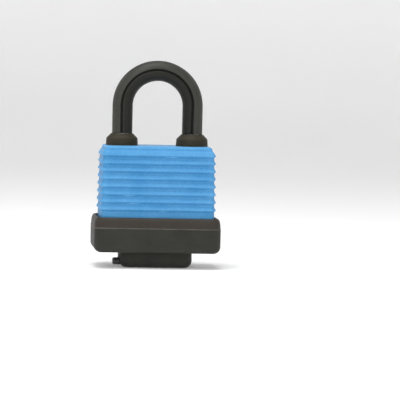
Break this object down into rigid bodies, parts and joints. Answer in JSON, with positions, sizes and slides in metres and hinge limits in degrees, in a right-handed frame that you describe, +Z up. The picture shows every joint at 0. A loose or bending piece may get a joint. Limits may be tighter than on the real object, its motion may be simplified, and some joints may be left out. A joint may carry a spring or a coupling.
{
  "type": "padlock",
  "caption": "Laminated padlock in a ribbed blue weather jacket with a black base cover, a sleeved shackle that lifts, a turning key cylinder with sliding latches, and a swinging keyhole cover.",
  "frame": {"origin": "middle of the underside, under the keyhole cover, where the padlock stands", "axes": "+Z up along the shackle legs, front face towards -Y, +X to the right seen from the front"},
  "size_m": [0.0478, 0.03, 0.0779],
  "materials": {
    "plate_steel": "zinc plated, punched",
    "rivet_steel": "plain steel",
    "shackle_steel": "bright plated",
    "sleeve_vinyl": "satin black vinyl",
    "boot_rubber": "moulded black rubber",
    "jacket_plastic": "moulded blue, satin",
    "base_plastic": "moulded black, satin",
    "pivot_steel": "plain rivet",
    "brass": "turned brass",
    "spring_steel": "spring wire",
    "latch_steel": "hardened steel"
  },
  "bodies": {
    "lock_body": {"jacket": "jacket_plastic", "base_cover": "base_plastic", "left_boot": "boot_rubber", "right_boot": "boot_rubber", "cover_pivot": "pivot_steel", "body_rivets": "rivet_steel", "cylinder_housing": "brass", "chamber_strip": "brass", "driver_pins": "brass", "pin_springs": "spring_steel", "shackle_spring": "spring_steel", "bottom_plate": "plate_steel", "cylinder_plate_1": "plate_steel", "cylinder_plate_2": "plate_steel", "cylinder_plate_3": "plate_steel", "cylinder_plate_4": "plate_steel", "cylinder_plate_5": "plate_steel", "cylinder_plate_6": "plate_steel", "cylinder_plate_7": "plate_steel", "cylinder_plate_8": "plate_steel", "clip_plate_1": "plate_steel", "clip_plate_2": "plate_steel", "shaft_plate_1": "plate_steel", "shaft_plate_2": "plate_steel", "cam_plate": "plate_steel", "latch_plate": "plate_steel", "top_plate": "plate_steel"},
    "shackle": {"shackle": "shackle_steel", "shackle_sleeve": "sleeve_vinyl"},
    "plug": {"cylinder_plug": "brass", "key_pins": "brass", "plug_clip": "spring_steel", "cam": "latch_steel"},
    "left_latch": {"left_latch": "latch_steel"},
    "right_latch": {"right_latch": "latch_steel"},
    "keyhole_cover": {"keyhole_cover": "base_plastic"}
  },
  "joints": [
    {"name": "shackle_lift", "type": "slide", "parent": "lock_body", "child": "shackle", "axis": [0, 0, 1], "range_m": [0, 0.0135], "deforming": ["shackle_spring"]},
    {"name": "plug_turn", "type": "hinge", "parent": "lock_body", "child": "plug", "pos_m": [0, 0, 0.02], "axis": [0, 0, -1], "range_deg": [0, 90]},
    {"name": "left_latch_slide", "type": "slide", "parent": "lock_body", "child": "left_latch", "axis": [-1, 0, 0], "range_m": [0, 0.00269]},
    {"name": "right_latch_slide", "type": "slide", "parent": "lock_body", "child": "right_latch", "axis": [1, 0, 0], "range_m": [0, 0.00269]},
    {"name": "keyhole_cover_swing", "type": "hinge", "parent": "lock_body", "child": "keyhole_cover", "pos_m": [0.0092, 0.0044, 0.003], "axis": [0, 0, 1], "range_deg": [0, 95]}
  ],
  "couplings": [
    {"joint": "left_latch_slide", "follows": "plug_turn", "m_per_rad": 0.0017106},
    {"joint": "right_latch_slide", "follows": "plug_turn", "m_per_rad": 0.0017106}
  ]
}
